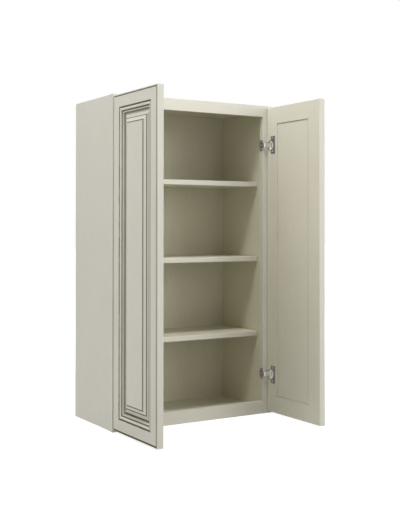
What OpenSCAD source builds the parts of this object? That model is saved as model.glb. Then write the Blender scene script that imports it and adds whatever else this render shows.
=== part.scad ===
// Two-door face-frame wall cabinet, 24 x 42 x 12 inches, modelled in millimetres.
// Origin: the centre of the back face. +Y points into the wall, +X to the right, +Z up.
// Each door is drawn shut and then swung open about its hinge pins by door_angle.

/* [Cabinet] */
// Width of the face frame, over its stiles
cabinet_w = 609.6; // [500:1:915]
// Outer height of the cabinet
cabinet_h = 1066.8; // [900:1:1220]
// Depth from the wall to the front of the face frame
cabinet_d = 304.8; // [250:1:400]
// Thickness of the side panels
side_t = 16; // [12:0.1:19]
// How far the face frame stands out past each side panel
frame_overhang = 3.2; // [0:0.1:6.4]
// Thickness of the top and bottom panels
deck_t = 16; // [11:0.1:19]
// Thickness of the back panel
back_t = 9.5; // [6:0.1:13]
// Depth of the rabbets that hold the deck and back panels
rabbet_d = 6.3; // [3:0.1:8]

/* [Face frame] */
// Thickness of the face frame
frame_t = 19; // [16:0.1:25]
// Width of the frame's stiles
frame_stile_w = 38.1; // [34:0.1:50]
// Height of the frame's top rail
top_rail_h = 38.1; // [30:0.1:60]
// Height of the frame's bottom rail
bottom_rail_h = 42; // [30:0.1:60]
// Length of the tenons on the frame's rails
tenon_l = 10; // [6:0.5:16]
// Thickness of those tenons
tenon_t = 6.4; // [5:0.1:8]
// Shoulder above and below each tenon
tenon_shoulder = 6; // [4:0.5:9]

/* [Shelves] */
// Thickness of the shelves
shelf_t = 17; // [12:0.1:22]
// Distance from the rear of the face frame to a shelf's front edge
shelf_setback = 43; // [5:1:80]
// Gap between a shelf's end and the side panel
shelf_end_gap = 3; // [2:0.1:4]
// Gap between a shelf and the back panel
shelf_rear_gap = 1; // [0.5:0.1:3]
// Radius of the eased front edges of a shelf
shelf_ease = 1.5; // [0.5:0.1:3]
// Diameter of the shelf pins
shelf_pin_d = 5; // [4:0.1:6]
// Length of a shelf pin inside the side panel
shelf_pin_l = 8.5; // [6:0.1:10]
// Room behind a shelf pin in its hole
pin_hole_room = 0.5; // [0.2:0.1:1.5]
// Diameter of a shelf pin's collar
shelf_collar_d = 7.6; // [7:0.1:10]
// Thickness of a shelf pin's collar
shelf_collar_t = 1; // [0.6:0.1:1.5]
// Length of the tab that a shelf lies on
shelf_tab_l = 9; // [7:0.1:12]
// Thickness of that tab
shelf_tab_t = 3; // [2:0.1:4]
// Width of that tab
shelf_tab_w = 7; // [5:0.1:10]
// Distance from a shelf's front and rear edges to its pins
shelf_pin_inset = 37; // [25:1:60]
// Spacing of the pin holes
pin_hole_pitch = 32; // [20:1:40]
// Pin holes above and below the one in use
spare_holes = 1; // [0:1:3]

/* [Doors] */
// How far the doors stand open, in degrees
door_angle = 90; // [0:1:105]
// Thickness of a door
door_t = 22; // [20:0.1:26]
// How far a door covers the frame's stile
door_overlay = 31.75; // [30:0.05:32]
// Frame left bare above and below a door
door_reveal = 7.5; // [3:0.1:20]
// Gap between the two shut doors
meeting_gap = 3; // [2:0.1:6]
// Gap between a shut door and the face frame
door_gap = 3; // [2.8:0.1:5]
// Width of a door's stiles and rails
member_w = 59; // [56:0.1:80]
// Radius of the eased outer edge on the door's back
door_ease = 1.6; // [1:0.1:2]
// Width of the step round the door's front edge
edge_step_w = 6.35; // [3:0.05:8]
// Depth of that step
edge_step_d = 1.5; // [1:0.1:3]

/* [Door moulding] */
// Radius of the eased inner edge of a member's flat face
flat_ease = 0.8; // [0.4:0.1:1.2]
// Width of the quirk, the groove outside the round moulding
quirk_w = 3.8; // [2:0.1:5]
// Depth of the quirk
quirk_d = 3; // [2:0.1:4]
// Radius of the large round moulding
round_r = 4.5; // [4:0.1:5]
// Depth of its crown below the door's front
round_top_d = 0.8; // [0.4:0.1:1.5]
// Width of the groove between the round moulding and the bead
bead_groove_w = 3; // [1.5:0.1:3.5]
// Depth of that groove
bead_groove_d = 7; // [6.5:0.1:7.5]
// Radius of the bead along the member's inner edge
bead_r = 1.6; // [1.2:0.1:2]
// Depth of the bead's crown
bead_top_d = 6; // [5.5:0.1:6.4]

/* [Door panel] */
// Depth of the panel's low border below the door's front
border_d = 13; // [12.4:0.1:13.5]
// Thickness of the tongue that slides in the members' grooves
tongue_t = 4; // [3:0.1:5]
// Depth of the panel's back below the door's back
panel_back_d = 2; // [1:0.1:3.5]
// Gap seen from behind between the panel and the members
panel_back_gap = 1.2; // [0.6:0.1:2]
// Visible width of the border
border_w = 8.8; // [6:0.1:12]
// Width of each of the two bevels
bevel_w = 12.4; // [8:0.1:18]
// Height of the small step below each bevel
bevel_step = 1; // [0.6:0.1:1.4]
// Rise of the outer bevel
outer_rise = 4.4; // [3:0.1:5.5]
// Rise of the inner bevel
inner_rise = 3.6; // [2:0.1:4.5]
// Width of the groove round the raised field
field_groove_w = 2.4; // [0.8:0.1:4]
// Depth of the raised field below the door's front
field_d = 0.5; // [0:0.1:0.9]
// Depth of the grooves that hold the panel
panel_groove = 9; // [7:0.1:10]
// Room for the panel to move in each groove
panel_float = 2; // [1:0.1:3]
// Gap between the panel's tongue and the wall of its groove
panel_fit = 0.1; // [0.05:0.05:0.3]

/* [Hinges] */
// Distance from the door's top or bottom to a hinge's centre
hinge_from_end = 130; // [90:1:250]
// Diameter of the hinge cup
cup_d = 35; // [34.5:0.1:36]
// Wood left between the cup and the door's edge
cup_edge = 3; // [3:0.1:3.4]
// Depth of the cup in the door
cup_depth = 12; // [11.8:0.1:12.5]
// Wall thickness of the cup
cup_wall = 1; // [0.8:0.1:1]
// Gap round and under the cup in its bore
cup_fit = 0.1; // [0.05:0.05:0.2]
// Distance from the cup's centre to the hinge pin
pin_offset = 12.64; // [12.4:0.02:12.7]
// Distance from the door's back to the hinge pin
pin_depth = 8; // [7.8:0.1:8.1]
// Diameter of the hinge pin
pin_d = 2.6; // [2.4:0.1:2.8]
// Running gap round the hinge pin
pin_fit = 0.05; // [0.03:0.01:0.08]
// Length of the hinge pin
pin_l = 20.6; // [18:0.1:21]
// Radius of the cheeks that hold the hinge pin
cheek_r = 2.6; // [2.3:0.1:2.8]
// Gap between a cheek and the arm's knuckle
cheek_gap = 0.35; // [0.3:0.05:0.6]
// Radius of the arm's knuckle
knuckle_r = 2.2; // [2:0.1:2.2]
// Thickness of the arm
arm_t = 1.5; // [1.2:0.1:1.5]
// Height of the arm
arm_w = 15; // [14:0.1:15]
// Height of the arm at its knuckle
neck_w = 12.8; // [10:0.1:13]
// Length of that narrow neck
neck_l = 4.2; // [4:0.1:6]
// Radius inside the arm's bend
bend_r = 1; // [0.6:0.1:1.2]
// Thickness of the flange on the door
flange_t = 1; // [0.8:0.1:1.2]
// Width of the flange
flange_w = 25; // [22:0.5:25]
// Height of the flange
flange_h = 60; // [56:0.5:66]
// Distance from the cup's centre to the flange's near edge
flange_start = 2; // [1:0.5:4]
// Width of the rim round the cup
rim_w = 0.8; // [0.4:0.1:1.2]
// Distance from the cup's centre to its screws, across the door
cup_screw_x = 12; // [9:0.5:14]
// Spacing of the two cup screws
cup_screw_pitch = 45; // [44:0.5:48]
// Thickness of the plate on the frame
plate_t = 1.5; // [1.2:0.1:1.5]
// Height of the plate
plate_h = 37; // [34:0.5:44]
// Frame left bare in front of and behind the plate
plate_margin = 1; // [0.5:0.1:2]
// Spacing of the two plate screws
plate_screw_pitch = 26; // [25:0.5:28]
// Corner radius of the flange and the plate
metal_corner_r = 2; // [1:0.1:3]

/* [Screws] */
// Diameter of the screws' shanks
screw_d = 3.4; // [3:0.1:3.8]
// Diameter of the screws' heads
screw_head_d = 6.6; // [6:0.1:7]
// Height of the screws' heads
screw_head_h = 1.4; // [1.2:0.1:1.5]
// Diameter of the flat top of a head
screw_top_d = 4.6; // [4:0.1:5.5]
// Length of a screw under its head
screw_l = 12; // [10:0.5:13]
// Diameter of a screw's blunt tip
screw_tip_d = 1; // [0.6:0.1:2]
// Gap round a screw's shank
screw_fit = 0.05; // [0.02:0.01:0.1]
// Length of the cross recess in a head
recess_l = 3.6; // [2.6:0.1:4.4]
// Width of that recess
recess_w = 0.9; // [0.6:0.1:1.2]
// Depth of that recess
recess_d = 0.8; // [0.4:0.1:1]

/* [Hidden] */
$fn = 48;
cream = "#d8d5c8";
steel = "#9b9c9e";
// Overshoot that keeps the faces of a cut off the faces of its solid
cut = 1;
// Straight pieces in each curve of the moulding, and in a door's eased edge
curve_steps = 12;
ease_steps = 6;

// Carcass
half_w = cabinet_w / 2;
half_h = cabinet_h / 2;
box_d = cabinet_d - frame_t;
side_half_w = half_w - frame_overhang;
inner_half_w = side_half_w - side_t;
deck_half_w = inner_half_w + rabbet_d;
back_half_h = half_h - deck_t + rabbet_d;

// Shelves, with equal clear spaces between them and the deck panels
shelf_count = 3;
shelf_space = (cabinet_h - 2 * deck_t - shelf_count * shelf_t) / (shelf_count + 1);
function shelf_z(i) = -half_h + deck_t + shelf_space * (i + 1) + shelf_t * i;
shelf_front_y = -box_d + shelf_setback;
shelf_back_y = -back_t - shelf_rear_gap;
pin_rows_y = [shelf_front_y + shelf_pin_inset, shelf_back_y - shelf_pin_inset];
pin_hole_l = shelf_pin_l + pin_hole_room;
// A shelf lies on the pins' tabs, level with the top of the pins
function shelf_pin_z(i) = shelf_z(i) - shelf_pin_d / 2;

// Doors, measured from the outer edge and from the back of the left one
side_reveal = frame_stile_w - door_overlay;
door_w = (cabinet_w - 2 * side_reveal - meeting_gap) / 2;
door_h = cabinet_h - 2 * door_reveal;
border_front = door_t - border_d;
tongue_back = border_front - tongue_t;
// The bead's centre, the angle at which it meets its groove's floor, and the floor's two edges
bead_centre = [member_w - bead_r, door_t - bead_top_d - bead_r];
bead_end = 180 - asin((bead_r + bead_top_d - bead_groove_d) / bead_r);
groove_inner = bead_centre[0] + bead_r * cos(bead_end);
groove_outer = groove_inner - bead_groove_w;
// The round moulding's centre, the angle at which it meets the quirk's floor, and the quirk's edges
round_centre = [groove_outer - round_r, door_t - round_top_d - round_r];
round_end = 180 - asin((round_r + round_top_d - quirk_d) / round_r);
quirk_inner = round_centre[0] + round_r * cos(round_end);
quirk_outer = quirk_inner - quirk_w;

// Hinges
cup_x = cup_edge + cup_d / 2;
pin_x = cup_x - pin_offset;
hinge_z = door_h / 2 - hinge_from_end;
pivot_x = -half_w + side_reveal + pin_x;
pivot_y = -cabinet_d - door_gap - pin_depth;
// Places seen from the pin of a shut left door, +X across the opening, +Y to the wall
frame_front_y = door_gap + pin_depth;
plate_x = door_overlay - pin_x;
plate_y = frame_front_y + plate_margin;
plate_d = frame_t - 2 * plate_margin;
arm_x = plate_x + plate_t;
arm_inner_y = arm_t - knuckle_r;
bend_x = arm_x - bend_r;
bend_y = arm_inner_y + bend_r;

// Draws its children for the left side, or mirrored for the right side
module on_side(side) {
    if (side == "right")
        mirror([1, 0, 0]) children();
    else
        children();
}

// Swings what is drawn in the shut left door's place, round the hinge pins
module swung(side) {
    on_side(side)
        translate([pivot_x, pivot_y, 0])
            rotate([0, 0, -door_angle])
                translate([-pivot_x, -pivot_y, 0])
                    children();
}

// Door coordinates: x from the outer edge, y minus the height above the back, z up
module door_place(side) {
    swung(side)
        translate([-half_w + side_reveal, -cabinet_d - door_gap, -door_h / 2])
            children();
}

// Hinge coordinates on the frame: the pin on the z axis, level with the hinge
module hinge_place(side, level) {
    on_side(side)
        translate([pivot_x, pivot_y, level * hinge_z])
            children();
}

// The same coordinates on the door, which swing with it
module hinge_on_door(side, level) {
    swung(side)
        translate([pivot_x, pivot_y, level * hinge_z])
            children();
}

// A flat outline with round corners, from the origin towards +x and centred on y
module rounded_outline(w, h, r) {
    translate([r, -h / 2])
        square([w - 2 * r, h]);
    translate([0, -h / 2 + r])
        square([w, h - 2 * r]);
    for (x = [r, w - r], y = [-h / 2 + r, h / 2 - r])
        translate([x, y])
            circle(r);
}

// A pan-head screw: the head's seat at z = 0, the head above it
module screw() {
    difference() {
        union() {
            cylinder(h = screw_head_h / 2, d = screw_head_d);
            translate([0, 0, screw_head_h / 2])
                cylinder(h = screw_head_h / 2, d1 = screw_head_d, d2 = screw_top_d);
            translate([0, 0, -screw_l + screw_d / 2])
                cylinder(h = screw_l - screw_d / 2, d = screw_d);
            translate([0, 0, -screw_l])
                cylinder(h = screw_d / 2, d1 = screw_tip_d, d2 = screw_d);
        }
        for (a = [0, 90])
            rotate([0, 0, a])
                translate([-recess_l / 2, -recess_w / 2, screw_head_h - recess_d])
                    cube([recess_l, recess_w, recess_d + cut]);
    }
}

// The hole for such a screw
module screw_hole() {
    translate([0, 0, -screw_l - screw_fit])
        cylinder(h = screw_l + screw_fit + cut, r = screw_d / 2 + screw_fit);
}

// Side panel with rabbets for the deck and back panels, and blind shelf-pin holes
module side_panel(side) {
    color(cream)
        on_side(side)
            difference() {
                translate([-side_half_w, -box_d, -half_h])
                    cube([side_t, box_d, cabinet_h]);
                translate([-deck_half_w, -back_t, -half_h - cut])
                    cube([rabbet_d + cut, back_t + cut, cabinet_h + 2 * cut]);
                translate([-deck_half_w, -box_d - cut, half_h - deck_t])
                    cube([rabbet_d + cut, box_d + 2 * cut, deck_t + cut]);
                translate([-deck_half_w, -box_d - cut, -half_h - cut])
                    cube([rabbet_d + cut, box_d + 2 * cut, deck_t + cut]);
                for (i = [0 : shelf_count - 1], y = pin_rows_y, k = [-spare_holes : spare_holes])
                    translate([-inner_half_w - pin_hole_l, y, shelf_pin_z(i) + k * pin_hole_pitch])
                        rotate([0, 90, 0])
                            cylinder(h = pin_hole_l + cut, d = shelf_pin_d);
            }
}

// Bottom panel: it fills the side panels' rabbets and has one for the back panel
module deck() {
    difference() {
        translate([-deck_half_w, -box_d, -half_h])
            cube([2 * deck_half_w, box_d, deck_t]);
        translate([-deck_half_w - cut, -back_t, -back_half_h])
            cube([2 * (deck_half_w + cut), back_t + cut, rabbet_d + cut]);
    }
}

module bottom_panel() {
    color(cream)
        deck();
}

module top_panel() {
    color(cream)
        mirror([0, 0, 1])
            deck();
}

module back_panel() {
    color(cream)
        translate([-deck_half_w, -back_t, -back_half_h])
            cube([2 * deck_half_w, back_t, 2 * back_half_h]);
}

// Height of a rail's tenon, and the place of a rail between the frame's stiles
function tenon_h(rail_h) = rail_h - 2 * tenon_shoulder;
rail_half_w = half_w - frame_stile_w;

// A tenon, or the mortise that it fills
module tenon(rail_h, length) {
    translate([rail_half_w, (frame_t - tenon_t) / 2, tenon_shoulder])
        cube([length, tenon_t, tenon_h(rail_h)]);
}

// Frame stile with a mortise for each rail and holes for the hinge plates' screws
module frame_stile(side) {
    color(cream)
        on_side(side)
            difference() {
                translate([-half_w, -cabinet_d, -half_h])
                    cube([frame_stile_w, frame_t, cabinet_h]);
                translate([0, -cabinet_d, -half_h])
                    mirror([1, 0, 0])
                        tenon(bottom_rail_h, tenon_l);
                translate([0, -cabinet_d, half_h - top_rail_h])
                    mirror([1, 0, 0])
                        tenon(top_rail_h, tenon_l);
                for (level = [-1, 1])
                    translate([pivot_x, pivot_y, level * hinge_z])
                        plate_screw_places()
                            screw_hole();
            }
}

// A frame rail with its two tenons, drawn with its lower edge at z = 0
module frame_rail(rail_h) {
    translate([-rail_half_w, 0, 0])
        cube([2 * rail_half_w, frame_t, rail_h]);
    tenon(rail_h, tenon_l);
    mirror([1, 0, 0])
        tenon(rail_h, tenon_l);
}

module top_frame_rail() {
    color(cream)
        translate([0, -cabinet_d, half_h - top_rail_h])
            frame_rail(top_rail_h);
}

module bottom_frame_rail() {
    color(cream)
        translate([0, -cabinet_d, -half_h])
            frame_rail(bottom_rail_h);
}

// Cross-section of a shelf, x towards the wall, with both front edges eased
module shelf_section() {
    depth = shelf_back_y - shelf_front_y;
    translate([shelf_ease, 0])
        square([depth - shelf_ease, shelf_t]);
    translate([0, shelf_ease])
        square([depth, shelf_t - 2 * shelf_ease]);
    for (y = [shelf_ease, shelf_t - shelf_ease])
        translate([shelf_ease, y])
            circle(shelf_ease);
}

module shelf(i) {
    shelf_l = 2 * (inner_half_w - shelf_end_gap);
    color(cream)
        translate([-shelf_l / 2, shelf_front_y, shelf_z(i)])
            rotate([90, 0, 90])
                linear_extrude(shelf_l)
                    shelf_section();
}

// One shelf pin on the left: its centre line on the x axis, its collar against x = 0
module shelf_pin() {
    rotate([0, -90, 0])
        cylinder(h = shelf_pin_l, d = shelf_pin_d);
    rotate([0, 90, 0])
        cylinder(h = shelf_collar_t, d = shelf_collar_d);
    translate([0, -shelf_tab_w / 2, shelf_pin_d / 2 - shelf_tab_t])
        cube([shelf_collar_t + shelf_tab_l, shelf_tab_w, shelf_tab_t]);
}

// The four pins that carry one shelf
module shelf_pins(i) {
    color(steel)
        for (side = ["left", "right"], y = pin_rows_y)
            on_side(side)
                translate([-inner_half_w, y, shelf_pin_z(i)])
                    shelf_pin();
}

// Points of an arc round a centre
function arc(centre, r, from, to, steps) =
    [for (k = [0 : steps])
        let (a = from + (to - from) * k / steps)
        [centre[0] + r * cos(a), centre[1] + r * sin(a)]];

// Cross-section of a door member: x from the outer edge, y the height above the back
function member_points() = concat(
    arc([door_ease, door_ease], door_ease, 180, 270, ease_steps),
    [
        [member_w, 0],
        [member_w, tongue_back - panel_fit],
        [member_w - panel_groove, tongue_back - panel_fit],
        [member_w - panel_groove, border_front + panel_fit],
        [member_w, border_front + panel_fit]
    ],
    arc(bead_centre, bead_r, 0, bead_end, curve_steps),
    [
        [groove_outer, door_t - bead_groove_d]
    ],
    arc(round_centre, round_r, 0, round_end, curve_steps),
    [
        [quirk_outer, door_t - quirk_d]
    ],
    arc([quirk_outer - flat_ease, door_t - flat_ease], flat_ease, 0, 90, ease_steps),
    [
        [edge_step_w, door_t],
        [edge_step_w, door_t - edge_step_d],
        [0, door_t - edge_step_d]
    ]
);

// A door member along +z, with its outer edge at x = 0 and both ends mitred
module door_member(length) {
    intersection() {
        linear_extrude(length)
            mirror([0, 1])
                polygon(member_points());
        rotate([90, 0, 0])
            linear_extrude(door_t)
                polygon([[0, 0], [member_w, member_w], [member_w, length - member_w], [0, length]]);
    }
}

// The hinge stile, with a bore for each cup and holes for the cup screws
module door_hinge_stile(side) {
    color(cream)
        door_place(side)
            difference() {
                door_member(door_h);
                for (level = [-1, 1])
                    translate([cup_x, 0, door_h / 2 + level * hinge_z]) {
                        rotate([-90, 0, 0])
                            translate([0, 0, -cup_depth - cup_fit])
                                cylinder(h = cup_depth + cup_fit + cut, r = cup_d / 2 + cup_fit);
                        translate([0, flange_t, 0])
                            cup_screw_places()
                                screw_hole();
                    }
            }
}

module door_meeting_stile(side) {
    color(cream)
        door_place(side)
            translate([door_w, 0, 0])
                mirror([1, 0, 0])
                    door_member(door_h);
}

// A rail is a member laid along x, by swapping x and z
module door_rail() {
    mirror([1, 0, -1])
        door_member(door_w);
}

module door_bottom_rail(side) {
    color(cream)
        door_place(side)
            door_rail();
}

module door_top_rail(side) {
    color(cream)
        door_place(side)
            translate([0, 0, door_h])
                mirror([0, 0, 1])
                    door_rail();
}

// Half of the raised panel's cross-section, from its back to the raised field
panel_edge = member_w - panel_groove + panel_float;
bevel_start = member_w + border_w;
bevel_middle = bevel_start + bevel_w;
bevel_end = bevel_middle + bevel_w;
outer_low = border_front + bevel_step;
inner_low = outer_low + outer_rise + bevel_step;
function panel_half() = [
    [member_w + panel_back_gap, panel_back_d],
    [member_w + panel_back_gap, tongue_back],
    [panel_edge, tongue_back],
    [panel_edge, border_front],
    [bevel_start, border_front],
    [bevel_start, outer_low],
    [bevel_middle, outer_low + outer_rise],
    [bevel_middle, inner_low],
    [bevel_end, inner_low + inner_rise],
    [bevel_end + field_groove_w, inner_low + inner_rise],
    [bevel_end + field_groove_w, door_t - field_d]
];

// The panel's whole cross-section over one of the door's two widths
module panel_section(width) {
    half = panel_half();
    last = len(half) - 1;
    mirror([0, 1])
        polygon(concat(half, [for (k = [0 : last]) [width - half[last - k][0], half[last - k][1]]]));
}

// Raised panel: where its cross-sections across and up the door meet, the bevels mitre
module door_panel(side) {
    color(cream)
        door_place(side)
            intersection() {
                linear_extrude(door_h)
                    panel_section(door_w);
                mirror([1, 0, -1])
                    linear_extrude(door_w)
                        panel_section(door_h);
            }
}

// Puts its child at both cup screws, seen from the cup's centre, pointing out of the door
module cup_screw_places() {
    for (z = [-cup_screw_pitch / 2, cup_screw_pitch / 2])
        translate([cup_screw_x, 0, z])
            rotate([-90, 0, 0])
                children();
}

// Puts its child at the stile's screws, seen from the hinge pin, pointing out of the stile:
// two on the plate, and one through the arm between them
module plate_screw_places() {
    for (place = [[0, -plate_screw_pitch / 2], [0, plate_screw_pitch / 2], [arm_t, 0]])
        translate([arm_x + place[0], frame_front_y + frame_t / 2, place[1]])
            rotate([0, 90, 0])
                children();
}

// Cup with its rim and flange, and two cheeks that hold the ends of the hinge pin
module hinge_cup(side, level) {
    inner_r = cup_d / 2 - cup_wall;
    floor_y = pin_depth - cup_depth + cup_wall;
    cheek_z = neck_w / 2 + cheek_gap;
    color(steel)
        hinge_on_door(side, level)
            difference() {
                union() {
                    difference() {
                        translate([pin_offset, pin_depth, 0])
                            rotate([-90, 0, 0])
                                union() {
                                    translate([0, 0, -cup_depth])
                                        cylinder(h = cup_depth + flange_t, d = cup_d);
                                    cylinder(h = flange_t, r = cup_d / 2 + rim_w);
                                    translate([flange_start, 0, 0])
                                        linear_extrude(flange_t)
                                            rounded_outline(flange_w, flange_h, metal_corner_r);
                                }
                        translate([pin_offset, floor_y, 0])
                            rotate([-90, 0, 0])
                                cylinder(h = cup_depth + flange_t, r = inner_r);
                    }
                    intersection() {
                        translate([pin_offset, floor_y - cup_wall / 2, 0])
                            rotate([-90, 0, 0])
                                cylinder(h = cup_depth, r = inner_r + cup_wall / 2);
                        for (end = [0, 1])
                            mirror([0, 0, end])
                                translate([0, 0, cheek_z]) {
                                    cylinder(h = cup_d / 2, r = cheek_r);
                                    translate([-cheek_r, floor_y - cup_wall, 0])
                                        cube([2 * cheek_r, cup_wall - floor_y, cup_d / 2]);
                                }
                    }
                }
                translate([0, 0, -pin_l / 2])
                    cylinder(h = pin_l, d = pin_d);
                translate([pin_offset, pin_depth + flange_t, 0])
                    cup_screw_places()
                        screw_hole();
            }
}

module hinge_pin(side, level) {
    color(steel)
        hinge_on_door(side, level)
            translate([0, 0, -pin_l / 2])
                cylinder(h = pin_l, d = pin_d);
}

module cup_screws(side, level) {
    color(steel)
        hinge_on_door(side, level)
            translate([pin_offset, pin_depth + flange_t, 0])
                cup_screw_places()
                    screw();
}

// Outline of the arm: a knuckle on the pin, a bend, and a leg along the stile
module arm_outline() {
    circle(knuckle_r);
    translate([0, -knuckle_r])
        square([bend_x, arm_t]);
    translate([arm_x, bend_y])
        square([arm_t, frame_front_y + frame_t - plate_margin - bend_y]);
    intersection() {
        translate([bend_x, bend_y - bend_r - arm_t])
            square(bend_r + arm_t);
        difference() {
            translate([bend_x, bend_y])
                circle(bend_r + arm_t);
            translate([bend_x, bend_y])
                circle(bend_r);
        }
    }
}

// The arm turns on the hinge pin and is screwed to the stile over the hinge plate
module hinge_arm(side, level) {
    color(steel)
        hinge_place(side, level)
            difference() {
                translate([0, 0, -arm_w / 2])
                    linear_extrude(arm_w)
                        arm_outline();
                for (end = [0, 1])
                    mirror([0, 0, end])
                        translate([-knuckle_r - cut, -knuckle_r - cut, neck_w / 2])
                            cube([knuckle_r + cut + neck_l, 2 * (knuckle_r + cut), arm_w]);
                translate([0, 0, -neck_w / 2 - cut])
                    cylinder(h = neck_w + 2 * cut, r = pin_d / 2 + pin_fit);
                plate_screw_places()
                    screw_hole();
            }
}

module hinge_plate(side, level) {
    color(steel)
        hinge_place(side, level)
            difference() {
                translate([plate_x, plate_y, 0])
                    rotate([90, 0, 90])
                        linear_extrude(plate_t)
                            rounded_outline(plate_d, plate_h, metal_corner_r);
                plate_screw_places()
                    screw_hole();
            }
}

module plate_screws(side, level) {
    color(steel)
        hinge_place(side, level)
            plate_screw_places()
                screw();
}

side_panel("left");  // left_side_panel
side_panel("right");  // right_side_panel
top_panel();
bottom_panel();
back_panel();
frame_stile("left");  // left_frame_stile
frame_stile("right");  // right_frame_stile
top_frame_rail();
bottom_frame_rail();
shelf(0);  // lower_shelf
shelf(1);  // middle_shelf
shelf(2);  // upper_shelf
shelf_pins(0);  // lower_shelf_pins
shelf_pins(1);  // middle_shelf_pins
shelf_pins(2);  // upper_shelf_pins
door_hinge_stile("left");  // left_door_hinge_stile
door_meeting_stile("left");  // left_door_meeting_stile
door_top_rail("left");  // left_door_top_rail
door_bottom_rail("left");  // left_door_bottom_rail
door_panel("left");  // left_door_panel
door_hinge_stile("right");  // right_door_hinge_stile
door_meeting_stile("right");  // right_door_meeting_stile
door_top_rail("right");  // right_door_top_rail
door_bottom_rail("right");  // right_door_bottom_rail
door_panel("right");  // right_door_panel
hinge_plate("left", 1);  // left_upper_hinge_plate
hinge_arm("left", 1);  // left_upper_hinge_arm
hinge_pin("left", 1);  // left_upper_hinge_pin
hinge_cup("left", 1);  // left_upper_hinge_cup
cup_screws("left", 1);  // left_upper_cup_screws
plate_screws("left", 1);  // left_upper_plate_screws
hinge_plate("left", -1);  // left_lower_hinge_plate
hinge_arm("left", -1);  // left_lower_hinge_arm
hinge_pin("left", -1);  // left_lower_hinge_pin
hinge_cup("left", -1);  // left_lower_hinge_cup
cup_screws("left", -1);  // left_lower_cup_screws
plate_screws("left", -1);  // left_lower_plate_screws
hinge_plate("right", 1);  // right_upper_hinge_plate
hinge_arm("right", 1);  // right_upper_hinge_arm
hinge_pin("right", 1);  // right_upper_hinge_pin
hinge_cup("right", 1);  // right_upper_hinge_cup
cup_screws("right", 1);  // right_upper_cup_screws
plate_screws("right", 1);  // right_upper_plate_screws
hinge_plate("right", -1);  // right_lower_hinge_plate
hinge_arm("right", -1);  // right_lower_hinge_arm
hinge_pin("right", -1);  // right_lower_hinge_pin
hinge_cup("right", -1);  // right_lower_hinge_cup
cup_screws("right", -1);  // right_lower_cup_screws
plate_screws("right", -1);  // right_lower_plate_screws
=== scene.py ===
import math

import bpy
from mathutils import Euler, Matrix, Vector


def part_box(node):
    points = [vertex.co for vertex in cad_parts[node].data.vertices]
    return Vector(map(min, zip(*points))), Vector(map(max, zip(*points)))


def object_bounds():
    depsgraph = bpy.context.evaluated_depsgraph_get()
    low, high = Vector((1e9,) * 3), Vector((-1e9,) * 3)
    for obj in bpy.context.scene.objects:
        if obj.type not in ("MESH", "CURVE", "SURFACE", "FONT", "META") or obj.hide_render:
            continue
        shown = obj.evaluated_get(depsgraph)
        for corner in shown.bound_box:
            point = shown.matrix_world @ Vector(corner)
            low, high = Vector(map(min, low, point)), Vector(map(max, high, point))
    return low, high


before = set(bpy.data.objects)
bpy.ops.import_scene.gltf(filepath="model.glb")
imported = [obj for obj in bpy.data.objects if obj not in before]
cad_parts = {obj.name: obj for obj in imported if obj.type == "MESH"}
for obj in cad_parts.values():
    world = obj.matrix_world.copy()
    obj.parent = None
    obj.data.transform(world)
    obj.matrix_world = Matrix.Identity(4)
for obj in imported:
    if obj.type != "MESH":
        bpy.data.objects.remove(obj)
cad_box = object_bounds()
scene = bpy.context.scene

# ---------------------------------------------------------------- camera and light

# the photograph's camera, in metres and degrees, and its picture, in pixels
CAM_PLACE = (-1.55648, -2.99745, 0.11146)
CAM_YAW, CAM_PITCH = 32.200, 0.831
FOCAL_PX, CENTRE_X, CENTRE_Y = 935.5, 232.0, 213.59
PHOTO_W, PHOTO_H = 400, 532
SENSOR_MM = 36

cam = bpy.data.objects.new("camera", bpy.data.cameras.new("camera"))
scene.collection.objects.link(cam)
scene.camera = cam
cam.location = CAM_PLACE
cam.rotation_euler = Euler((math.radians(90 + CAM_PITCH), 0, -math.radians(CAM_YAW)))
cam.data.sensor_width = SENSOR_MM
cam.data.lens = FOCAL_PX * SENSOR_MM / PHOTO_H
cam.data.shift_x = (PHOTO_W / 2 - CENTRE_X) / PHOTO_H
cam.data.shift_y = (CENTRE_Y - PHOTO_H / 2) / PHOTO_H
cam.data.clip_start, cam.data.clip_end = 0.05, 60

scene.view_settings.view_transform = "Standard"


def softbox(name, place, aim, size, power):
    """A white square area lamp at place, turned to aim."""
    data = bpy.data.lights.new(name, "AREA")
    data.shape, data.size, data.energy = "SQUARE", size, power
    lamp = bpy.data.objects.new(name, data)
    scene.collection.objects.link(lamp)
    lamp.location = place
    lamp.rotation_euler = (Vector(aim) - Vector(place)).to_track_quat("-Z", "Y").to_euler()


softbox("key", (-0.45, -1.1, 2.3), (0, -0.25, 0.0), 0.5, 32.0)
softbox("side", (-3.2, -1.6, 1.3), (0, -0.3, 0.1), 1.8, 31.0)
softbox("side_high", (-2.2, -0.3, 2.6), (0, -0.3, 0.1), 1.4, 23.5)
softbox("side_back", (-2.6, 0.6, 1.9), (0, -0.3, 0.1), 1.5, 8.0)
softbox("front", (0.9, -3.6, 1.2), (0.2, -0.5, 0.0), 1.8, 16.5)
softbox("front_right", (1.8, -3.2, 0.6), (0.2, -0.5, 0.0), 1.6, 33.0)
softbox("back", (1.5, 2.8, 1.6), (0.1, -0.1, 0.0), 1.8, 42.0)
softbox("right", (3.2, 0.5, 1.4), (0.3, -0.2, 0.0), 1.8, 28.0)


# ---------------------------------------------------------------- node graph helpers

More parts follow.
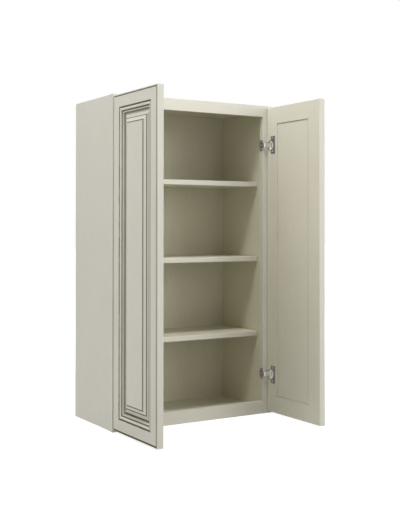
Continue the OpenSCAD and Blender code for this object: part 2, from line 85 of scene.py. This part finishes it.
class Graph:
    """A small helper that adds and joins shader nodes."""

    def __init__(self, owner):
        owner.use_nodes = True
        self.tree = owner.node_tree
        self.tree.nodes.clear()

    def add(self, kind, **fields):
        node = self.tree.nodes.new(kind)
        for key, value in fields.items():
            setattr(node, key, value)
        return node

    def put(self, socket, value):
        """Sets a socket to a number or colour, or links it to another node's socket."""
        if isinstance(value, bpy.types.NodeSocket):
            self.tree.links.new(value, socket)
        elif isinstance(value, tuple) and len(value) == 3 and socket.type == "RGBA":
            socket.default_value = (*value, 1)
        else:
            socket.default_value = value

    def math(self, operation, first, *others, clamp=False):
        """A math node, or a chain of them where there are more than two values."""
        for other in others or (None,):
            node = self.add("ShaderNodeMath", operation=operation, use_clamp=clamp)
            self.put(node.inputs[0], first)
            if other is not None:
                self.put(node.inputs[1], other)
            first = node.outputs[0]
        return first

    def above(self, value, limit):
        return self.math("GREATER_THAN", value, limit)

    def below(self, value, limit):
        return self.math("LESS_THAN", value, limit)

    def opposite(self, share):
        return self.math("SUBTRACT", 1.0, share, clamp=True)

    def blend(self, factor, a, b, mode="MIX"):
        node = self.add("ShaderNodeMix", data_type="RGBA", blend_type=mode, clamp_factor=True)
        self.put(node.inputs["Factor"], factor)
        # the node has an A and a B of each data type, and these are the colours
        self.put(node.inputs[6], a)
        self.put(node.inputs[7], b)
        return node.outputs[2]

    def tint(self, tone, factors):
        return self.blend(1.0, tone, factors, "MULTIPLY")

    def remap(self, value, low, high, to_low=0.0, to_high=1.0, smooth=False):
        node = self.add("ShaderNodeMapRange", clamp=True,
                        interpolation_type="SMOOTHSTEP" if smooth else "LINEAR")
        for socket, v in zip(node.inputs, (value, low, high, to_low, to_high)):
            self.put(socket, v)
        return node.outputs[0]

    def coords(self):
        return self.add("ShaderNodeTexCoord").outputs["Object"]

    def axes(self, vector):
        split = self.add("ShaderNodeSeparateXYZ")
        self.put(split.inputs[0], vector)
        return split.outputs

    def noise(self, vector, scale, detail=3.0, rough=0.5, stretch=None):
        if stretch is not None:
            mapping = self.add("ShaderNodeMapping")
            self.put(mapping.inputs["Vector"], vector)
            mapping.inputs["Scale"].default_value = stretch
            vector = mapping.outputs[0]
        node = self.add("ShaderNodeTexNoise")
        self.put(node.inputs["Vector"], vector)
        node.inputs["Scale"].default_value = scale
        node.inputs["Detail"].default_value = detail
        node.inputs["Roughness"].default_value = rough
        return node.outputs[0]

    def bevel(self, radius, samples):
        """The surface's normal, rounded at the edges."""
        node = self.add("ShaderNodeBevel", samples=samples)
        node.inputs["Radius"].default_value = radius
        return node.outputs[0]

    def bump(self, height, distance, strength, normal):
        node = self.add("ShaderNodeBump")
        node.inputs["Strength"].default_value = strength
        node.inputs["Distance"].default_value = distance
        self.put(node.inputs["Height"], height)
        self.put(node.inputs["Normal"], normal)
        return node.outputs[0]

    def surface(self, colour, roughness, normal=None, **constants):
        shader = self.add("ShaderNodeBsdfPrincipled")
        self.put(shader.inputs["Base Color"], colour)
        self.put(shader.inputs["Roughness"], roughness)
        for key, value in constants.items():
            shader.inputs[key].default_value = value
        if normal is not None:
            self.put(shader.inputs["Normal"], normal)
        out = self.add("ShaderNodeOutputMaterial")
        self.tree.links.new(shader.outputs[0], out.inputs["Surface"])
        return shader


def material(name):
    made = bpy.data.materials.new(name)
    return made, Graph(made)


def seen_directly(g):
    """1 for the rays that show a thing, and 0 for those by which it only lights other things."""
    rays = g.add("ShaderNodeLightPath").outputs
    return g.math("ADD", rays["Is Camera Ray"], rays["Is Glossy Ray"],
                  rays["Is Transmission Ray"], clamp=True)


# ---------------------------------------------------------------- the world and the floor

# strength of the white world where it only lights, next to 1 where it is seen
FILL = 0.15

world = bpy.data.worlds.new("studio")
scene.world = world
g = Graph(world)
sky = g.add("ShaderNodeBackground")
sky.inputs["Color"].default_value = (1, 1, 1, 1)
g.put(sky.inputs["Strength"], g.remap(seen_directly(g), 0.0, 1.0, FILL, 1.0))
out = g.add("ShaderNodeOutputWorld")
g.tree.links.new(sky.outputs[0], out.inputs["Surface"])

FLOOR_HALF = 25.0
FLOOR_Z = cad_box[0].z - 0.0005
# the floor's glow near the object, and the distances over which it rises to the backdrop's white
GLOW_NEAR, GLOW_FROM, GLOW_TO = 0.79, 0.9, 3.2

mesh = bpy.data.meshes.new("floor")
corners = [(x * FLOOR_HALF, y * FLOOR_HALF, FLOOR_Z)
           for x, y in ((-1, -1), (1, -1), (1, 1), (-1, 1))]
mesh.from_pydata(corners, [], [(0, 1, 2, 3)])
floor = bpy.data.objects.new("floor", mesh)
scene.collection.objects.link(floor)
floor_paint, g = material("floor_paint")
shader = g.surface((0.45, 0.45, 0.44), g.remap(g.noise(g.coords(), 3.0), 0.3, 0.7, 0.85, 0.95))
shader.inputs["Emission Color"].default_value = (1, 1, 1, 1)
span = g.add("ShaderNodeVectorMath", operation="LENGTH")
g.put(span.inputs[0], g.coords())
glow = g.remap(span.outputs["Value"], GLOW_FROM, GLOW_TO, GLOW_NEAR, 1.0, smooth=True)
g.put(shader.inputs["Emission Strength"], g.math("MULTIPLY", seen_directly(g), glow))
mesh.materials.append(floor_paint)

# ---------------------------------------------------------------- paint

CREAM = (0.715, 0.697, 0.607)
# brown glaze, also used as painted shade in the door's hollows
GLAZE_AND_SHADE = (0.072, 0.045, 0.012)
# painted shade: the inside of the case and the backs of the doors are tinted yellower than the
# outside, standing in for the warm light bounced about inside
INNER_SHADE_TINT = (1.0, 0.983, 0.912)
INNER_SHADE_SHARE_ON_DOORS = 0.45
# the darkest streaks of the wood under the paint, and the painted highlight on the high places of
# the mouldings
STREAK_TINT = (0.94, 0.935, 0.925)
RIDGE_HIGHLIGHT_TINT = (1.13, 1.13, 1.13)
# the edges of every board, lighter partly as rubbed wear and partly as a painted highlight
EDGE_WEAR_AND_HIGHLIGHT_TINT = (1.10, 1.10, 1.10)


def scaled(colour, factors):
    return tuple(c * f for c, f in zip(colour, factors))


def sprayed(g, at):
    """The colour of sprayed cream paint, with its faint clouds and specks."""
    clouds = g.remap(g.noise(at, 5.0, 3.0), 0.3, 0.7)
    tone = g.blend(clouds, scaled(CREAM, (0.975, 0.97, 0.955)), scaled(CREAM, (1.015, 1.015, 1.02)))
    specks = g.remap(g.noise(at, 90.0, 2.0), 0.35, 0.7, 0.0, 0.35)
    return g.blend(specks, tone, scaled(CREAM, (0.95, 0.945, 0.93)))


def streaks(g, at, grain):
    """Fine streaks along one axis, as of the wood under the paint."""
    stretch = tuple(0.22 if axis == grain else 4.5 for axis in "XYZ")
    return g.noise(at, 60.0, 4.0, 0.6, stretch)


def coat(g, at, tone, wood, glaze_and_shade=None):
    """Satin paint of this colour over streaked wood: lighter and smoother at the edges, partly as
    rubbed wear and partly as a painted highlight, duller where there is glaze or painted shade,
    and with a fine orange peel."""
    tone = g.blend(g.remap(wood, 0.35, 0.65, 0.0, 0.6), tone, g.tint(tone, STREAK_TINT))
    soft = g.bevel(0.0009, 6)
    facing = g.add("ShaderNodeVectorMath", operation="DOT_PRODUCT")
    g.put(facing.inputs[0], soft)
    g.put(facing.inputs[1], g.add("ShaderNodeNewGeometry").outputs["Normal"])
    edge = g.remap(facing.outputs["Value"], 0.70, 0.99, 0.45, 0.0)
    if glaze_and_shade is not None:
        edge = g.math("MULTIPLY", edge, g.opposite(glaze_and_shade))
    # partly rubbed wear and partly a painted highlight: the edges are lighter
    tone = g.blend(edge, tone, scaled(CREAM, EDGE_WEAR_AND_HIGHLIGHT_TINT))
    rough = g.remap(g.noise(at, 40.0, 3.0), 0.3, 0.7, 0.37, 0.49)
    rough = g.math("SUBTRACT", rough, g.math("MULTIPLY", edge, 0.12))
    if glaze_and_shade is not None:
        rough = g.math("ADD", rough, g.math("MULTIPLY", glaze_and_shade, 0.4))
    relief = g.math("ADD", g.math("MULTIPLY", g.noise(at, 420.0, 2.0), 0.6), wood)
    g.surface(tone, rough, g.bump(relief, 0.00018, 0.5, soft), IOR=1.46)


# where the painted shade of the case's inside begins, a little way into the boards round it
INNER_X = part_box("right_side_panel")[0].x + 0.001
INNER_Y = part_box("right_frame_stile")[1].y - 0.001
INNER_BACK_Y = -0.004
INNER_Z = 0.519


def paint(name, grain, inner_from=INNER_Y):
    """Cream paint on the case, tinted yellower inside as painted shade; grain is the axis along
    which the wood underneath runs.
    """
    made, g = material(name)
    at = g.coords()
    x, y, z = g.axes(at)
    inside = g.math("MULTIPLY",
                    g.below(g.math("ABSOLUTE", x), INNER_X), g.above(y, inner_from),
                    g.below(y, INNER_BACK_Y), g.below(g.math("ABSOLUTE", z), INNER_Z))
    tone = sprayed(g, at)
    # painted shade: the inside is tinted yellower
    tone = g.blend(inside, tone, g.tint(tone, INNER_SHADE_TINT))
    coat(g, at, tone, streaks(g, at, grain))
    return made


MM_PER_M = 1000.0
# places on a door, in millimetres: the first three from its outline, the others from its back
OUTER_EDGE = 0.4
MEMBER_W = 59.0
VALLEY_FLOOR_FROM = 60.0
FRONT_FROM = 6.0
VALLEY_DEPTH, VALLEY_TOP = 8.8, 12.5

# start, end and soft edge (mm from the door's outline) of each band of glaze, and its strength
# in the top rail, in the bottom rail and in the upright members; these strengths differ partly as
# painted shade of the light from above, mostly heavier in the bottom rail and lighter in the
# uprights
GLAZE_AND_SHADE_BANDS = [
    (2.4, 7.0, 0.8, 0.9, 1.0, 0.5),
    (1.6, 7.5, 0.8, 0.0, 1.0, 0.0),
    (40.6, 44.9, 0.5, 0.93, 0.97, 0.68),
    (44.9, 47.2, 2.0, 0.0, 0.15, 0.48),
    (52.6, 56.2, 0.5, 0.93, 0.9, 0.68),
    (78.5, 81.2, 0.7, 0.85, 1.0, 0.9),
    (81.0, 82.6, 0.8, 0.0, 0.9, 0.0),
    (92.2, 95.5, 0.5, 1.0, 1.0, 0.62),
    (91.6, 96.0, 0.5, 0.3, 0.9, 0.0),
]
# the same in the valley round the panel, where the glaze lies on the floor and on the foot of its
# wall, partly painted shade, heavier on the bottom rail's valley floor in the shadow of the panel
VALLEY_GLAZE_AND_SHADE_BANDS = [
    (58.5, 61.0, 0.7, 0.7, 0.1, 0.68),
    (60.6, 64.2, 0.9, 0.65, 1.0, 0.68),
    (64.0, 67.9, 0.9, 0.35, 1.0, 0.55),
    (67.9, 75.5, 3.0, 0.0, 0.1, 0.38),
]
# the same on the door's back: the joint of panel and rails, and painted shade on the panel's free
# side beside the recess wall
BACK_BANDS = [(58.0, 60.2, 0.8, 0.25, 0.12, 0.0)]
FREE_SIDE_SHADE_BANDS = [(59.0, 69.0, 6.0, 0.0, 0.0, 0.08)]
# the same for the painted highlights on the high places, strongest in the top rail, which faces the
# light from above
RIDGE_HIGHLIGHT_BANDS = [
    (45.8, 51.0, 1.5, 0.9, 0.4, 0.1),
    (56.6, 59.4, 0.8, 1.0, 1.0, 0.2),
    (68.5, 78.5, 2.0, 0.7, 0.1, 0.0),
    (82.4, 91.6, 2.0, 0.5, 0.1, 0.0),
]


def door_paint(name, side):
    """The same paint on a door: brown glaze in the low places of its front, partly painted shade,
    painted highlights on its high places, and painted shade on its back.
    """
    pieces = ("hinge_stile", "meeting_stile", "top_rail", "bottom_rail", "panel")
    nodes = [f"{side}_door_{p}" for p in pieces]
    boxes = [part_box(n) for n in nodes]
    low = [min(b[0][i] for b in boxes) for i in range(3)]
    high = [max(b[1][i] for b in boxes) for i in range(3)]
    made, g = material(name)
    at = g.coords()
    x, y, z = g.axes(at)

    # distance from the door's outline: the mouldings run parallel to it
    across = g.math("MINIMUM", g.math("SUBTRACT", y, low[1]), g.math("SUBTRACT", high[1], y))
    along = g.math("MINIMUM", g.math("SUBTRACT", z, low[2]), g.math("SUBTRACT", high[2], z))
    inward = g.math("MULTIPLY", g.math("MINIMUM", across, along), MM_PER_M)
    in_upright = g.below(across, along)
    in_lower = g.below(z, (low[2] + high[2]) / 2)
    on_free_side = g.below(y, (low[1] + high[1]) / 2)
    # height above the door's back: the open door's back faces the opening
    height = g.math("SUBTRACT", high[0], x) if side == "left" else g.math("SUBTRACT", x, low[0])
    height = g.math("MULTIPLY", height, MM_PER_M)
    front = g.above(height, FRONT_FROM)
    back = g.opposite(front)

    shifted = g.math("ADD", inward, g.remap(g.noise(at, 45.0, 3.0), 0.2, 0.8, -0.2, 0.2))

    def bands(rows):
        """How strongly the bands of these rows cover each place."""
        covers = []
        for start, end, edge, top, bottom, upright in rows:
            half = (end - start) / 2
            off = g.math("ABSOLUTE", g.math("SUBTRACT", shifted, (start + end) / 2))
            cover = g.remap(off, half - edge / 2, half + edge / 2, 1.0, 0.0, smooth=True)
            level = g.remap(in_lower, 0.0, 1.0, top, bottom)
            level = g.remap(in_upright, 0.0, 1.0, level, upright)
            covers.append(g.math("MULTIPLY", cover, level))
        return g.math("MAXIMUM", 0.0, *covers)

    low_down = g.math("MAXIMUM", g.remap(height, VALLEY_DEPTH, VALLEY_TOP, 1.0, 0.0),
                      g.above(inward, VALLEY_FLOOR_FROM))
    # glaze in the hollows, partly painted shade where the rails' strengths differ
    glaze_and_shade = g.math("MAXIMUM", g.math("MULTIPLY", bands(VALLEY_GLAZE_AND_SHADE_BANDS), low_down), bands(GLAZE_AND_SHADE_BANDS))
    patches = g.remap(g.noise(at, 16.0, 3.0), 0.3, 0.7, 0.9, 1.0)
    # painted shade on the back panel's free side
    shade = g.math("MULTIPLY", bands(FREE_SIDE_SHADE_BANDS), on_free_side)
    glaze_and_shade = g.math("ADD", g.math("MULTIPLY", glaze_and_shade, patches, front),
                   g.math("MULTIPLY", g.math("MAXIMUM", bands(BACK_BANDS), shade), back))

    # painted shade: the door's back, inside its outline, is tinted yellower like the case's inside
    yellower = g.math("MULTIPLY", back, g.above(inward, OUTER_EDGE), INNER_SHADE_SHARE_ON_DOORS)
    tone = sprayed(g, at)
    tone = g.blend(yellower, tone, g.tint(tone, INNER_SHADE_TINT))
    # painted highlight on the ridges of the mouldings
    ridge_highlight = g.math("MULTIPLY", bands(RIDGE_HIGHLIGHT_BANDS), front)
    tone = g.blend(ridge_highlight, tone, g.tint(tone, RIDGE_HIGHLIGHT_TINT))
    grain_up = g.math("MAXIMUM", in_upright, g.above(inward, MEMBER_W))
    wood = g.blend(grain_up, streaks(g, at, "Y"), streaks(g, at, "Z"))
    coat(g, at, g.blend(glaze_and_shade, tone, GLAZE_AND_SHADE), wood, glaze_and_shade)
    return made


# ---------------------------------------------------------------- metal

NICKEL = (0.42, 0.42, 0.43)
# the lighter tone of the painted highlights on the hinges' arms and cups
METAL_HIGHLIGHT_TONE = (0.79, 0.78, 0.74)


def metal(name, tint, smooth, rough, scratch, highlight_past=None):
    """Plated steel with faint brushing, small stains and softened edges, and roughness from smooth
    to rough. The last argument is an axis and the distance along it past which the metal is
    lighter, as a painted highlight."""
    made, g = material(name)
    at = g.coords()
    stains = g.remap(g.noise(at, 55.0, 4.0), 0.35, 0.7)
    tone = g.blend(stains, scaled(tint, (0.82, 0.82, 0.82)), tint)
    if highlight_past is not None:
        axis, limit = highlight_past
        # painted highlight: lighter past the given distance along the axis
        tone = g.blend(g.above(g.math("ABSOLUTE", g.axes(at)[axis]), limit), tone, METAL_HIGHLIGHT_TONE)
    brush = g.noise(at, 500.0, 3.0, 0.6, (1.0, 1.0, 0.06))
    normal = g.bump(brush, 0.00004, scratch, g.bevel(0.0004, 4))
    g.surface(tone, g.remap(brush, 0.3, 0.7, smooth, rough), normal, Metallic=1.0)
    return made


steel = metal("hinge_nickel", NICKEL, 0.34, 0.48, 0.5)
# painted highlight: the hinges' arms are lighter where they cross the gap, and their cups inside
# the door
arm_steel = metal("arm_nickel", NICKEL, 0.34, 0.48, 0.5,
                  ("Y", -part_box("right_frame_stile")[0].y + 0.001))
cup_steel = metal("cup_nickel", NICKEL, 0.34, 0.48, 0.5,
                  ("X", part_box("right_door_hinge_stile")[0].x + 0.0003))
screw_zinc = metal("screw_zinc", (0.56, 0.56, 0.57), 0.30, 0.44, 0.4)
pin_steel = metal("pin_nickel", (0.78, 0.77, 0.73), 0.3, 0.42, 0.4)

# ---------------------------------------------------------------- materials onto the nodes

case_up = paint("carcass_paint", "Z")
case_across = paint("rail_paint", "X")
# a shelf's front edge is left without the inside's painted shade
shelf_paint = paint("shelf_paint", "X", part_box("middle_shelf")[0].y + 0.002)
doors = {side: door_paint(f"{side}_door_paint", side) for side in ("left", "right")}
BY_ENDING = {"screws": screw_zinc, "pins": pin_steel, "arm": arm_steel, "cup": cup_steel,
             "shelf": shelf_paint}


def look_of(name):
    """The material of the node of this name."""
    words = name.split("_")
    if "door" in words:
        return doors[words[0]]
    if words[-1] in BY_ENDING:
        return BY_ENDING[words[-1]]
    if "hinge" in words:
        return steel
    if "rail" in words or name in ("top_panel", "bottom_panel"):
        return case_across
    return case_up


for name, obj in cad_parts.items():
    for slot in obj.material_slots:
        slot.material = look_of(name)
